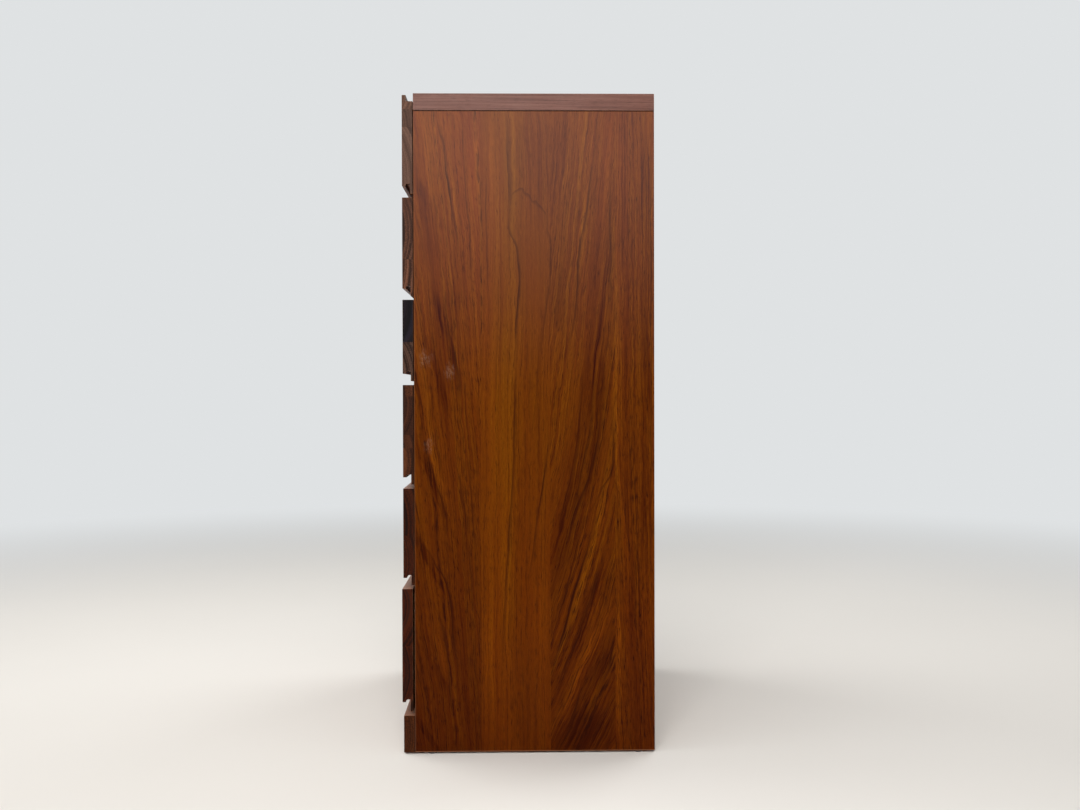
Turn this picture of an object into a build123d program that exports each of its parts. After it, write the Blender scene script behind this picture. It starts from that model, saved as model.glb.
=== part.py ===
import os

from build123d import *

os.makedirs("parts", exist_ok=True)

# Carcase, in millimetres: +Z is up, the drawers face -Y, the origin is on the floor under the middle
overall_width = 600
carcase_depth = 430
side_thickness = 22
top_thickness = 30
bottom_thickness = 18
back_thickness = 5
back_lap = 10  # how far the back panel laps into the sides and the top
back_lift = 20  # height of the back panel's lower edge
plinth_height = 66
rear_plinth_thickness = 18
glide_height = 3
glide_diameter = 18
glide_inset = 30  # from the carcase's front and back edges to a glide's middle
glide_chamfer = 0.5
shadow_groove = 2  # square groove along the joint of the side and the top
side_arris = 0.8
side_foot_chamfer = 1.5
top_arris = 1

# Drawer fronts
drawer_pitches = [182, 182, 152, 185, 180, 227]  # top of one front to top of the next, from the top down
front_thickness = 19
front_gap = 1  # thickness of the bumpers between the fronts and the carcase
front_inset = 1  # each end of a front lies this far inside the side's outer face
front_arris = 0.8
top_reveal = 3  # the first front's lip lies this far below the top
top_lip_thickness = 7
top_rebate_depth = 11
finger_gap = 20  # lip to the front below it
plinth_gap = 24  # lowest lip to the plinth
tongue_gap = 7  # tongue to the front below it
lip_thickness = 6
tongue_thickness = 4.5
groove_depth = 5
groove_radius = 4
lowest_rest_open = 2.5  # the lowest drawer stands this far open

# Rails between the drawers
rail_depth = 60
rail_below = 6  # a rail reaches this far below the top of the front under it
rail_above = 20

# Drawer boxes
drawer_side_thickness = 12
drawer_back_thickness = 12
drawer_bottom_thickness = 5
drawer_rear_clearance = 26  # box to the back panel
box_margin = 3  # from a front's finger groove up to the box
box_headroom = 8
bottom_rise = 10  # underside of the drawer bottom above the box's lower edge
housing_depth = 6  # sides let into the front
bottom_groove_depth = 5
bottom_clearance = 0.2
back_rabbet = 6
box_round = 2

# Telescopic slides, seen from the end: across is from the carcase side to the drawer
slide_setback = 3  # behind the carcase's front edge
slide_rear_inset = 6  # a rail ends this far before the rear of the drawer box
slide_space = 12.7
slide_height = 45
slide_sheet = 1.2
slide_lip = 1.9
slide_clearance = 0.4
slide_rise = 42  # slide's middle above the box's lower edge
cabinet_rail_width = 8.2
drawer_rail_flange = 3.5

# Screws and bumpers
screw_diameter = 3
screw_length = 12
drawer_screw_length = 9
screw_head_diameter = 6
screw_head_height = 1.6
screw_clearance = 0.05
screw_inset = 45  # from each end of a slide
head_recess_margin = 0.5  # around a sunk screw head
head_recess_drop = 0.2  # a sunk screw head lies this far below the back panel's face
back_screws_per_side = 7
back_screws_per_end = 4
bumper_diameter = 8
bumper_drop = 40  # below the top of each front

# Places worked out from the sizes above
overall_depth = carcase_depth + front_gap + front_thickness + lowest_rest_open
overall_height = glide_height + plinth_height + sum(drawer_pitches) + top_reveal
drawer_box_length = carcase_depth + front_gap - back_thickness - drawer_rear_clearance
slide_length = drawer_box_length - front_gap - slide_setback - slide_rear_inset
head_recess_diameter = screw_head_diameter + 2 * head_recess_margin
head_recess_depth = screw_head_height + head_recess_drop
half_width = overall_width / 2
inner_half = half_width - side_thickness
box_half = inner_half - slide_space
box_inner_half = box_half - drawer_side_thickness
back_y = overall_depth / 2
front_edge_y = back_y - carcase_depth
shelf_y = back_y - back_thickness
plinth_top = glide_height + plinth_height
bottom_low = plinth_top - bottom_thickness
top_low = overall_height - top_thickness
side_middle = half_width - side_thickness / 2
front_half = half_width - front_inset

front_tops = [overall_height - top_reveal - sum(drawer_pitches[:n]) for n in range(len(drawer_pitches))]
levels_below = front_tops[1:] + [plinth_top]
drawer_numbers = range(1, len(drawer_pitches) + 1)
hands = {"left": -1, "right": 1}


def is_lowest(number):
    return number == len(drawer_pitches)


def rest_shift(number):
    return -lowest_rest_open if is_lowest(number) else 0


def front_back_y(number):
    return front_edge_y - front_gap + rest_shift(number)


def lip_level(number):
    gap = plinth_gap if is_lowest(number) else finger_gap
    return levels_below[number - 1] + gap


def box_low(number):
    return lip_level(number) + groove_depth + box_margin


def box_high(number):
    ceiling = top_low if number == 1 else front_tops[number - 1] - rail_below
    return ceiling - box_headroom


def slide_level(number):
    return box_low(number) + slide_rise


def span_between(low, high):
    return (low + high) / 2, high - low


def board(x_span, y_span, z_span, mode=Mode.ADD):
    (x, width), (y, depth), (z, height) = (span_between(*span) for span in (x_span, y_span, z_span))
    with Locations((x, y, z)):
        Box(width, depth, height, mode=mode)


def handed_span(hand, low, high):
    return sorted((hand * low, hand * high))


def rod(place, direction, diameter, length, mode=Mode.ADD):
    with Locations(Plane(origin=place, z_dir=direction)):
        Cylinder(diameter / 2, length, align=(Align.CENTER, Align.CENTER, Align.MIN), mode=mode)


def pilot_hole(seat, direction, depth):
    rod(seat, direction, screw_diameter + 2 * screw_clearance, depth, mode=Mode.SUBTRACT)


def screw(seat, direction, length):
    outward = tuple(-part for part in direction)
    rod(seat, direction, screw_diameter, length)
    rod(seat, outward, screw_head_diameter, screw_head_height)


def save(piece, name):
    piece.part.label = name
    export_step(piece.part, f"parts/{name}.step")


# Screw places: under a slide's head, and under a back panel screw's head
slide_front_y = front_edge_y + slide_setback
slide_screw_depths = [slide_front_y + screw_inset, slide_front_y + slide_length - screw_inset]
back_seat_y = back_y - head_recess_depth
lap_middle = inner_half + back_lap / 2
side_screw_pitch = (top_low - plinth_top) / back_screws_per_side
side_screw_levels = [plinth_top + side_screw_pitch * (n + 0.5) for n in range(back_screws_per_side)]
end_screw_pitch = 2 * inner_half / back_screws_per_end
end_screw_places = [end_screw_pitch * (n + 0.5) - inner_half for n in range(back_screws_per_end)]
top_screw_level = top_low + back_lap / 2
bottom_screw_level = bottom_low + bottom_thickness / 2
end_screw_levels = (top_screw_level, bottom_screw_level)
lap_places = [(hand * lap_middle, z) for hand in hands.values() for z in side_screw_levels]
end_places = [(x, z) for x in end_screw_places for z in end_screw_levels]
back_screw_places = [(x, back_seat_y, z) for x, z in lap_places + end_places]
forward = (0, -1, 0)

# Side panels: rebated for the back, grooved under the top, drilled for the slides
for hand_name, hand in hands.items():
    with BuildPart() as side_panel:
        panel_span = handed_span(hand, inner_half, half_width)
        board(panel_span, (front_edge_y, back_y), (glide_height, top_low))
        outer_edges = side_panel.faces().sort_by(Axis.X)[-1 if hand > 0 else 0].edges()
        chamfer(outer_edges.filter_by(Axis.Z), length=side_arris)
        foot_edge = side_panel.edges().filter_by(Axis.Y).group_by(Axis.Z)[0].sort_by(Axis.X)
        chamfer(foot_edge[-1 if hand > 0 else 0], length=side_foot_chamfer)
        lap_span = handed_span(hand, inner_half, inner_half + back_lap)
        board(lap_span, (shelf_y, back_y), (glide_height, top_low), mode=Mode.SUBTRACT)
        groove_span = handed_span(hand, half_width - shadow_groove, half_width)
        board(groove_span, (front_edge_y, back_y), (top_low - shadow_groove, top_low), mode=Mode.SUBTRACT)
        for number in drawer_numbers:
            for y in slide_screw_depths:
                pilot_hole((hand * inner_half, y, slide_level(number)), (hand, 0, 0), screw_length)
        for z in side_screw_levels:
            pilot_hole((hand * lap_middle, shelf_y, z), forward, screw_length)
    save(side_panel, f"side_panel_{hand_name}")

# Top panel, with the back panel let in at its lower rear edge
with BuildPart() as top_panel:
    board((-half_width, half_width), (front_edge_y, back_y), (top_low, overall_height))
    fillet(top_panel.faces().sort_by(Axis.Z)[-1].edges(), radius=top_arris)
    lap_half = inner_half + back_lap
    board((-lap_half, lap_half), (shelf_y, back_y), (top_low, top_low + back_lap), mode=Mode.SUBTRACT)
    for x in end_screw_places:
        pilot_hole((x, shelf_y, top_screw_level), forward, screw_length)
save(top_panel, "top_panel")

# Bottom panel between the sides, level with the plinth
with BuildPart() as bottom_panel:
    board((-inner_half, inner_half), (front_edge_y, shelf_y), (bottom_low, plinth_top))
    for x in end_screw_places:
        pilot_hole((x, shelf_y, bottom_screw_level), forward, screw_length)
save(bottom_panel, "bottom_panel")

# Back panel, its screw heads sunk below its face
with BuildPart() as back_panel:
    lap_half = inner_half + back_lap
    board((-lap_half, lap_half), (shelf_y, back_y), (back_lift, top_low + back_lap))
    for place in back_screw_places:
        rod(place, (0, 1, 0), head_recess_diameter, head_recess_depth, mode=Mode.SUBTRACT)
        pilot_hole(place, forward, back_thickness)
save(back_panel, "back_panel")

# Plinth: a rail in the plane of the fronts, and one under the rear of the bottom panel
with BuildPart() as plinth_front:
    plinth_face_y = front_edge_y - front_gap - front_thickness
    board((-front_half, front_half), (plinth_face_y, front_edge_y), (glide_height, plinth_top))
    fillet(plinth_front.faces().sort_by(Axis.Y)[0].edges(), radius=front_arris)
save(plinth_front, "plinth_front")

with BuildPart() as plinth_rear:
    rear_span = (shelf_y - rear_plinth_thickness, shelf_y)
    board((-inner_half, inner_half), rear_span, (glide_height, bottom_low))
save(plinth_rear, "plinth_rear")

# Front rails, one behind each gap between two fronts
with BuildPart() as front_rails:
    for level in front_tops[1:]:
        rail_span = (level - rail_below, level + rail_above)
        board((-inner_half, inner_half), (front_edge_y, front_edge_y + rail_depth), rail_span)
save(front_rails, "front_rails")

# Glides under the sides and under the middle of both plinth rails
with BuildPart() as glides:
    side_glides = [(hand * side_middle, y) for hand in hands.values()
                   for y in (front_edge_y + glide_inset, back_y - glide_inset)]
    plinth_glides = [(0, (plinth_face_y + front_edge_y) / 2), (0, shelf_y - rear_plinth_thickness / 2)]
    for x, y in side_glides + plinth_glides:
        rod((x, y, 0), (0, 0, 1), glide_diameter, glide_height)
    chamfer(glides.edges().filter_by(GeomType.CIRCLE).group_by(Axis.Z)[0], length=glide_chamfer)
save(glides, "glides")

# Bumpers on the carcase's front edges, which the closed fronts meet
with BuildPart() as bumpers:
    for level in front_tops:
        for hand in hands.values():
            rod((hand * side_middle, front_edge_y, level - bumper_drop), forward, bumper_diameter, front_gap)
save(bumpers, "bumpers")

# Slide section: the three rails hook into each other with the same clearance everywhere
step = slide_sheet + slide_clearance
cabinet_half = slide_height / 2
middle_web = slide_sheet + screw_head_height + slide_clearance
middle_high_half = cabinet_half - step
middle_low_half = middle_high_half - slide_lip
middle_step = cabinet_rail_width - step
middle_width = slide_space - step
drawer_rail_high_half = middle_low_half - step
drawer_rail_low_half = drawer_rail_high_half - slide_lip
drawer_rail_step = middle_width - step


def web(hand, level, across, half_height):
    x, width = span_between(*across)
    with Locations((hand * (inner_half - x), level)):
        Rectangle(width, 2 * half_height)


def flange_pair(hand, level, across, up):
    x, width = span_between(*across)
    z, height = span_between(*up)
    with Locations((hand * (inner_half - x), level + z), (hand * (inner_half - x), level - z)):
        Rectangle(width, height)


def cabinet_section(hand, level):
    flange_low = cabinet_half - slide_sheet
    lip_edge = cabinet_rail_width - slide_sheet
    web(hand, level, (0, slide_sheet), cabinet_half)
    flange_pair(hand, level, (0, cabinet_rail_width), (flange_low, cabinet_half))
    flange_pair(hand, level, (lip_edge, cabinet_rail_width), (flange_low - slide_lip, cabinet_half))


def middle_section(hand, level):
    flange_low = middle_low_half - slide_sheet
    lip_edge = middle_width - slide_sheet
    step_edge = middle_step - slide_sheet
    web(hand, level, (middle_web, middle_web + slide_sheet), middle_high_half)
    flange_pair(hand, level, (middle_web, middle_step), (middle_high_half - slide_sheet, middle_high_half))
    flange_pair(hand, level, (step_edge, middle_step), (flange_low, middle_high_half))
    flange_pair(hand, level, (step_edge, middle_width), (flange_low, middle_low_half))
    flange_pair(hand, level, (lip_edge, middle_width), (flange_low - slide_lip, middle_low_half))


def drawer_section(hand, level):
    neck_low = drawer_rail_low_half - slide_sheet
    step_edge = drawer_rail_step - slide_sheet
    flange_edge = drawer_rail_step - drawer_rail_flange
    flange_low = drawer_rail_high_half - slide_sheet
    web(hand, level, (slide_space - slide_sheet, slide_space), drawer_rail_low_half)
    flange_pair(hand, level, (step_edge, slide_space), (neck_low, drawer_rail_low_half))
    flange_pair(hand, level, (step_edge, drawer_rail_step), (neck_low, drawer_rail_high_half))
    flange_pair(hand, level, (flange_edge, drawer_rail_step), (flange_low, drawer_rail_high_half))


def slide_rail(section, hand, level, shift):
    with BuildSketch(Plane.XZ.offset(-(slide_front_y + slide_length + shift))) as profile:
        section(hand, level)
    extrude(profile.sketch, amount=slide_length)


# Cabinet rails of all the slides, screwed to the sides
with BuildPart() as slide_cabinet_rails:
    for number in drawer_numbers:
        for hand in hands.values():
            slide_rail(cabinet_section, hand, slide_level(number), 0)
            for y in slide_screw_depths:
                web_face = (hand * inner_half, y, slide_level(number))
                pilot_hole(web_face, (-hand, 0, 0), slide_sheet)
save(slide_cabinet_rails, "slide_cabinet_rails")

# Screws of the cabinet rails and of the back panel
with BuildPart() as carcase_screws:
    for number in drawer_numbers:
        for hand in hands.values():
            for y in slide_screw_depths:
                seat = (hand * (inner_half - slide_sheet), y, slide_level(number))
                screw(seat, (hand, 0, 0), screw_length)
    for place in back_screw_places:
        screw(place, forward, screw_length)
save(carcase_screws, "carcase_screws")


def build_front(number):
    back = front_back_y(number)
    face = back - front_thickness
    top = front_tops[number - 1]
    lip = lip_level(number)
    ceiling = lip + groove_depth
    tongue = levels_below[number - 1] + tongue_gap
    lip_back = face + lip_thickness
    tongue_face = back - tongue_thickness
    bottom_slot = box_low(number) + bottom_rise
    with BuildPart() as front:
        with BuildSketch(Plane.YZ.offset(-front_half)):
            with BuildLine():
                Polyline((lip_back, ceiling - groove_radius), (lip_back, lip), (face, lip), (face, top),
                         (back, top), (back, tongue), (tongue_face, tongue), (tongue_face, ceiling),
                         (lip_back + groove_radius, ceiling))
                TangentArc((lip_back + groove_radius, ceiling), (lip_back, ceiling - groove_radius),
                           tangent=(-1, 0))
            make_face()
        extrude(amount=2 * front_half)
        fillet(front.faces().sort_by(Axis.Y)[0].edges(), radius=front_arris)
        if number == 1:
            rebate_span = (face + top_lip_thickness, back)
            board((-front_half, front_half), rebate_span, (top - top_rebate_depth, top), mode=Mode.SUBTRACT)
        for hand in hands.values():
            housing_span = handed_span(hand, box_inner_half, box_half)
            box_span = (box_low(number), box_high(number))
            board(housing_span, (back - housing_depth, back), box_span, mode=Mode.SUBTRACT)
        slot_span = (bottom_slot, bottom_slot + drawer_bottom_thickness + bottom_clearance)
        slot_depth = (back - bottom_groove_depth, back)
        board((-box_inner_half, box_inner_half), slot_depth, slot_span, mode=Mode.SUBTRACT)
    save(front, f"drawer_{number}_front")


def build_side(number, hand_name, hand):
    front_y = front_back_y(number)
    rear_y = front_y + drawer_box_length
    low = box_low(number)
    high = box_high(number)
    slot = low + bottom_rise
    with BuildPart() as side:
        board(handed_span(hand, box_inner_half, box_half), (front_y - housing_depth, rear_y), (low, high))
        fillet(side.edges().filter_by(Axis.Y).group_by(Axis.Z)[-1], radius=box_round)
        slot_span = handed_span(hand, box_inner_half, box_inner_half + bottom_groove_depth)
        slot_height = (slot, slot + drawer_bottom_thickness + bottom_clearance)
        board(slot_span, (front_y - housing_depth, rear_y), slot_height, mode=Mode.SUBTRACT)
        rabbet_span = handed_span(hand, box_inner_half, box_inner_half + back_rabbet)
        board(rabbet_span, (rear_y - drawer_back_thickness, rear_y), (slot, high), mode=Mode.SUBTRACT)
        for y in slide_screw_depths:
            seat = (hand * box_half, y + rest_shift(number), slide_level(number))
            pilot_hole(seat, (-hand, 0, 0), drawer_screw_length)
    save(side, f"drawer_{number}_side_{hand_name}")


def build_back(number):
    rear_y = front_back_y(number) + drawer_box_length
    low = box_low(number) + bottom_rise + drawer_bottom_thickness
    back_half = box_inner_half + back_rabbet
    with BuildPart() as back:
        board((-back_half, back_half), (rear_y - drawer_back_thickness, rear_y), (low, box_high(number)))
        fillet(back.edges().filter_by(Axis.X).group_by(Axis.Z)[-1], radius=box_round)
    save(back, f"drawer_{number}_back")


def build_bottom(number):
    front_y = front_back_y(number) - bottom_groove_depth + bottom_clearance
    rear_y = front_back_y(number) + drawer_box_length
    low = box_low(number) + bottom_rise
    bottom_half = box_inner_half + bottom_groove_depth - bottom_clearance
    with BuildPart() as bottom:
        board((-bottom_half, bottom_half), (front_y, rear_y), (low, low + drawer_bottom_thickness))
    save(bottom, f"drawer_{number}_bottom")


def build_slides(number):
    level = slide_level(number)
    shift = rest_shift(number)
    with BuildPart() as drawer_rails:
        for hand in hands.values():
            slide_rail(drawer_section, hand, level, shift)
            for y in slide_screw_depths:
                pilot_hole((hand * box_half, y + shift, level), (hand, 0, 0), slide_sheet)
    save(drawer_rails, f"drawer_{number}_slide_rails")
    with BuildPart() as middle_rails:
        for hand in hands.values():
            slide_rail(middle_section, hand, level, shift / 2)
    save(middle_rails, f"slide_{number}_middle_rails")


def build_screws(number):
    with BuildPart() as screws:
        for hand in hands.values():
            for y in slide_screw_depths:
                seat = (hand * (box_half + slide_sheet), y + rest_shift(number), slide_level(number))
                screw(seat, (-hand, 0, 0), drawer_screw_length)
    save(screws, f"drawer_{number}_screws")


# The six drawers, each with the parts that move with it
for number in drawer_numbers:
    build_front(number)
    for hand_name, hand in hands.items():
        build_side(number, hand_name, hand)
    build_back(number)
    build_bottom(number)
    build_slides(number)
    build_screws(number)
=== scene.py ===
import bpy
import math
from mathutils import Matrix, Vector


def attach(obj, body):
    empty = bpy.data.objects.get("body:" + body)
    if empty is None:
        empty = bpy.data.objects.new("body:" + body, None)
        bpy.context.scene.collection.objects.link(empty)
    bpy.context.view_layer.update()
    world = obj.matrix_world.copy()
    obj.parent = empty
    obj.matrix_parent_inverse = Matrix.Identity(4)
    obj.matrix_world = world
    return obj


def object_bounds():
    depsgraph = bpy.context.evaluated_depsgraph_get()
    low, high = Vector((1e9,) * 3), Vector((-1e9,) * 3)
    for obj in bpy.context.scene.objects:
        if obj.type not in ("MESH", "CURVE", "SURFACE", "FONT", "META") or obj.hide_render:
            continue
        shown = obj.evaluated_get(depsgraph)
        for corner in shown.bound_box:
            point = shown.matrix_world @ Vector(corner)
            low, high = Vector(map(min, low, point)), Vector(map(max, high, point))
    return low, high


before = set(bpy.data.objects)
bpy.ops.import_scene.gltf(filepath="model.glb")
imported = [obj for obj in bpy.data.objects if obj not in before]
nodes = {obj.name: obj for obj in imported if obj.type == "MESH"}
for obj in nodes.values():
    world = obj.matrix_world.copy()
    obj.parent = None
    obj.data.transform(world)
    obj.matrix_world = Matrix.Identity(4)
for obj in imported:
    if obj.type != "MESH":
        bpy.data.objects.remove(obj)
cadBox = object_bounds()
bpy.ops.object.select_all(action="DESELECT")
print("frame loaded:", len(nodes), "nodes")

# the chest's own measures, in millimetres
chestHeight = round(cadBox[1][2] * 1000.0)
sideFace = round(cadBox[1][0] * 1000.0)
drawerNumbers = range(1, 7)


# camera and lamps, in metres
cameraLook = {
    "place": (2.2269, -0.0126, 0.6464),
    "yaw": 1.006, "pitch": -0.646, "roll": -0.142,  # degrees
    "lens": 35.93, "film": 36.0, "sight": 60.0,
}


def placeCamera(look):
    yaw, pitch, roll = (math.radians(look[key]) for key in ("yaw", "pitch", "roll"))
    ahead = Vector((-math.cos(yaw) * math.cos(pitch), math.sin(yaw) * math.cos(pitch), math.sin(pitch)))
    right = Vector((math.sin(yaw), math.cos(yaw), 0.0))
    up = right.cross(ahead).normalized()
    sideways = right * math.cos(roll) + up * math.sin(roll)
    upright = up * math.cos(roll) - right * math.sin(roll)
    bpy.ops.object.camera_add(location=look["place"])
    camera = bpy.context.object
    turn = Matrix((sideways, upright, -ahead)).transposed()
    camera.matrix_world = Matrix.Translation(look["place"]) @ turn.to_4x4()
    camera.data.sensor_fit = "HORIZONTAL"
    camera.data.sensor_width = look["film"]
    camera.data.lens = look["lens"]
    camera.data.clip_end = look["sight"]
    bpy.context.scene.camera = camera


lampLooks = [
    {"name": "keyLamp", "place": (2.6, -0.25, 1.98), "aim": (0.3, 0.0, 0.75), "size": (1.3, 0.45),
     "power": 47.0, "colour": (1.0, 0.985, 0.965)},
    {"name": "overheadLamp", "place": (0.7, -0.5, 3.1), "aim": (0.1, 0.0, 0.4), "size": (2.2, 2.2),
     "power": 40.0, "colour": (1.0, 0.99, 0.98)},
    {"name": "frontLamp", "place": (-0.9, -2.3, 2.9), "aim": (0.0, 0.0, 0.5), "size": (2.0, 1.6),
     "power": 46.0, "colour": (1.0, 0.99, 0.97)},
    {"name": "backLamp", "place": (-1.5, 1.9, 3.1), "aim": (0.0, 0.0, 0.5), "size": (2.0, 1.6),
     "power": 46.0, "colour": (0.97, 0.985, 1.0)},
]


def hangLamp(look):
    bpy.ops.object.light_add(type="AREA", location=look["place"])
    lamp = bpy.context.object
    lamp.name = look["name"]
    ahead = Vector(look["aim"]) - Vector(look["place"])
    lamp.rotation_euler = ahead.to_track_quat("-Z", "Y").to_euler()
    lamp.data.shape = "RECTANGLE"
    lamp.data.size, lamp.data.size_y = look["size"]
    lamp.data.energy = look["power"]
    lamp.data.color = look["colour"]


placeCamera(cameraLook)
for lampLook in lampLooks:
    hangLamp(lampLook)
bpy.context.scene.view_settings.view_transform = "Standard"
print("camera and lamps placed")


# small helpers for node trees
class Field:  # a value or colour that changes over a surface: sums and products of fields become Math nodes
    def __init__(self, socket):
        self.socket = socket
        self.tree = socket.id_data

    def __add__(self, other):
        return calc("ADD", self, other)

    def __sub__(self, other):
        return calc("SUBTRACT", self, other)

    def __rsub__(self, other):
        return calc("SUBTRACT", other, self)

    def __mul__(self, other):
        return calc("MULTIPLY", self, other)

    def __truediv__(self, other):
        return calc("DIVIDE", self, other)

    def __pow__(self, power):
        return calc("POWER", self, power)

    def __abs__(self):
        return calc("ABSOLUTE", self)

    def __gt__(self, limit):
        return calc("GREATER_THAN", self, limit)

    def __lt__(self, limit):
        return calc("LESS_THAN", self, limit)


def treeOf(*values):  # the node tree that these fields are in
    return next(value.tree for value in values if isinstance(value, Field))


def plug(value, socket):
    if isinstance(value, Field):
        value.tree.links.new(value.socket, socket)
    else:
        socket.default_value = value


def addNode(tree, kind, values=None, **settings):
    node = tree.nodes.new("ShaderNode" + kind)
    for key, value in settings.items():
        setattr(node, key, value)
    for key, value in (values or {}).items():
        plug(value, node.inputs[key])
    return node


def addField(tree, kind, values=None, output=0, **settings):
    return Field(addNode(tree, kind, values, **settings).outputs[output])


def calc(operation, *values):
    return addField(treeOf(*values), "Math", dict(enumerate(values)), operation=operation)


def ease(value, start, end, low=0.0, high=1.0):  # soft step between two values
    values = dict(enumerate((value, start, end, low, high)))
    return addField(value.tree, "MapRange", values, interpolation_type="SMOOTHSTEP", clamp=False)


def vector(x, y, z):
    return addField(treeOf(x, y, z), "CombineXYZ", {0: x, 1: y, 2: z})


def noiseAt(place, detail=2.0, roughness=0.5, scale=1.0):
    values = {"Vector": place, "Scale": scale, "Detail": detail, "Roughness": roughness}
    return addField(place.tree, "TexNoise", values)


def noiseLine(along, detail=1.0, roughness=0.5):
    values = {"W": along, "Scale": 1.0, "Detail": detail, "Roughness": roughness}
    return addField(along.tree, "TexNoise", values, noise_dimensions="1D")


def linear(written):  # a colour written as red, green, blue from 0 to 255
    parts = [value / 255.0 for value in written]
    return tuple(v / 12.92 if v <= 0.04045 else ((v + 0.055) / 1.055) ** 2.4 for v in parts) + (1.0,)


def mixColour(factor, first, second, mode="MIX"):
    values = {0: factor, 6: first, 7: second}
    return addField(treeOf(factor, first, second), "Mix", values, 2, data_type="RGBA", blend_type=mode)


def mixValue(factor, first, second):
    return addField(treeOf(factor, first, second), "Mix", {0: factor, 2: first, 3: second}, data_type="FLOAT")


def toward(colour, amount, written):  # moves a colour some way to a written one
    return mixColour(amount, colour, linear(written))


def stained(colour, stain):  # one colour seen through another
    return mixColour(1.0, colour, stain, "MULTIPLY")


def toneRamp(factor, stops, style="LINEAR"):  # each stop has a written colour or a plain value
    node = addNode(factor.tree, "ValToRGB", {0: factor})
    node.color_ramp.interpolation = style
    elements = node.color_ramp.elements
    while len(elements) < len(stops):
        elements.new(0.5)
    for element, (place, tone) in zip(elements, stops):
        element.position = place
        element.color = linear(tone) if isinstance(tone, tuple) else (tone, tone, tone, 1.0)
    return Field(node.outputs[0])


def shade(colour, amount):  # multiplies a colour by a grey value
    return addField(treeOf(colour, amount), "VectorMath", {0: colour, "Scale": amount}, operation="SCALE")


def deepen(colour, amount):  # darker and redder, or paler and yellower where the amount is below 0
    red = amount * -0.88 + 1.0
    rest = calc("MAXIMUM", amount * -1.12 + 1.0, 0.05)
    return stained(colour, addField(colour.tree, "CombineColor", {0: red, 1: rest, 2: rest}))


def newGroup(name, inputs, outputs):
    tree = bpy.data.node_groups.new(name, "ShaderNodeTree")
    for key, value in inputs.items():
        tree.interface.new_socket(key, in_out="INPUT", socket_type="NodeSocketFloat").default_value = value
    for key in outputs:
        tree.interface.new_socket(key, in_out="OUTPUT", socket_type="NodeSocketFloat")
    source = tree.nodes.new("NodeGroupInput")
    given = {key: Field(source.outputs[key]) for key in inputs}
    return tree, given, tree.nodes.new("NodeGroupOutput").inputs


def useGroup(tree, group, **values):
    node = addNode(tree, "Group", values, node_tree=group)
    return {socket.name: Field(socket) for socket in node.outputs}


def newMaterial(name):
    material = bpy.data.materials.new(name)
    material.use_nodes = True
    return material, material.node_tree, material.node_tree.nodes["Principled BSDF"].inputs


def objectPlace(tree):  # object coordinates in millimetres, and the face's own direction
    source = addNode(tree, "TexCoord").outputs
    millimetres = shade(Field(source["Object"]), 1000.0)
    place = addNode(tree, "SeparateXYZ", {0: millimetres}).outputs
    facing = addNode(tree, "SeparateXYZ", {0: Field(source["Normal"])}).outputs
    return [Field(socket) for socket in place], [Field(socket) for socket in facing]


def faces(direction, limit=0.6):  # 1 where the face looks along an axis, either way
    return abs(direction) > limit


def finishShader(shader, colour, roughness, height, depth, strength, gloss=0.5):
    plug(colour, shader["Base Color"])
    plug(roughness, shader["Roughness"])
    plug(gloss, shader["Specular IOR Level"])
    values = {"Strength": strength, "Distance": depth, "Height": height}
    plug(addField(colour.tree, "Bump", values), shader["Normal"])


# shared effects
def makeRings():  # growth rings: irregular steps along a flow value, each ring darkening to a sharp end
    tree, given, result = newGroup(
        "growthRings", {"flow": 0.0, "spacing": 20.0, "seed": 0.0}, ("tone", "lines"))
    seed = given["seed"]
    step = given["flow"] / given["spacing"]
    wander = noiseLine(step * 0.41 + seed) * 3.2 + step
    ring = calc("FLOOR", wander)
    part = wander - ring
    chance = addField(tree, "TexWhiteNoise", {"W": ring + seed}, noise_dimensions="1D")
    line = part ** 5.0 * ease(part, 1.0, 0.90) * chance ** 1.4
    broad = noiseLine(step * 0.33 + seed * 1.7, 3.0, 0.55)
    plug(chance * 0.22 + broad * 0.78, result["tone"])
    plug(line * 2.2, result["lines"])
    return tree


def makeFibres():  # fine streaks along the grain, and short open pores
    tree, given, result = newGroup(
        "woodFibres", {"across": 0.0, "deep": 0.0, "along": 0.0, "seed": 0.0}, ("streak", "pores", "flecks"))
    across, along = given["across"], given["along"]
    deep = given["deep"] + given["seed"]
    coarse = vector(across * 0.42, deep * 0.42, along * 0.0065)
    fine = vector(across * 0.95, deep * 0.95, along * 0.080)
    plug(noiseAt(coarse, 4.0, 0.62), result["streak"])
    grit = noiseAt(fine, 2.0, 0.6)
    plug(ease(grit, 0.50, 0.74), result["pores"])
    plug(ease(grit, 0.46, 0.26), result["flecks"])
    return tree


def makePatch():  # a blotch that leans with the grain and frays along it
    tree, given, result = newGroup(
        "grainPatch", {"y": 0.0, "z": 0.0, "streak": 0.5, "centreY": 0.0, "centreZ": 0.0, "halfY": 20.0,
                       "halfZ": 60.0, "lean": 0.0, "ragged": 0.8}, ("mask",))
    up = given["z"] - given["centreZ"]
    side = given["y"] - given["centreY"] - up * given["lean"]
    reach = calc("SQRT", (side / given["halfY"]) ** 2.0 + (up / given["halfZ"]) ** 2.0)
    drift = noiseAt(vector(side * 0.11, up * 0.011, given["centreZ"]), 4.0, 0.6)
    fray = (drift - 0.5) + (given["streak"] - 0.5)
    plug(ease(fray * given["ragged"] + reach, 1.2, 0.25), result["mask"])
    return tree


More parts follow.
